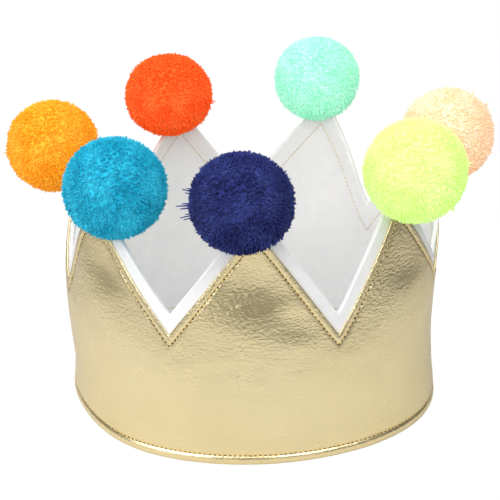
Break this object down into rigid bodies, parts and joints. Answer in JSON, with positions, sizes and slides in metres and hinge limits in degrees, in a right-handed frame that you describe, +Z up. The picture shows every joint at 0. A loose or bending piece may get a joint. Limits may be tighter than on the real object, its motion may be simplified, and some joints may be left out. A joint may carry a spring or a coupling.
{
  "type": "fabric dress-up crown",
  "caption": "Dress-up crown sewn from gold leather-look fabric with a white felt lining, a zigzag top edge and a yarn pompom on each point.",
  "frame": {"origin": "centre of the head opening, on the surface that the hem stands on", "axes": "+Z up, the wearer's face towards -Y, the wearer's left hand towards +X"},
  "size_m": [0.2346, 0.2048, 0.1547],
  "materials": {
    "gold": "satin metallic gold with a fine grain",
    "felt": "matte felt",
    "gold_thread": "satin thread",
    "white_thread": "matte thread",
    "tape": "matte woven nylon",
    "yarn_orange": "matte wool-like yarn",
    "yarn_yellow": "matte wool-like yarn",
    "yarn_teal": "matte wool-like yarn",
    "yarn_navy": "matte wool-like yarn",
    "yarn_lime": "matte wool-like yarn",
    "yarn_peach": "matte wool-like yarn",
    "yarn_mint": "matte wool-like yarn"
  },
  "bodies": {
    "root": {"gold_band": "gold", "felt_lining": "felt", "top_stitching": "gold_thread", "lining_stitching": "gold_thread", "hem_stitching": "gold_thread", "hook_tape": "tape", "tape_stitching": "white_thread", "pompom_orange": "yarn_orange", "pompom_tie_orange": "white_thread", "pompom_yellow": "yarn_yellow", "pompom_tie_yellow": "white_thread", "pompom_teal": "yarn_teal", "pompom_tie_teal": "white_thread", "pompom_navy": "yarn_navy", "pompom_tie_navy": "white_thread", "pompom_lime": "yarn_lime", "pompom_tie_lime": "white_thread", "pompom_peach": "yarn_peach", "pompom_tie_peach": "white_thread", "pompom_mint": "yarn_mint", "pompom_tie_mint": "white_thread"}
  },
  "joints": []
}
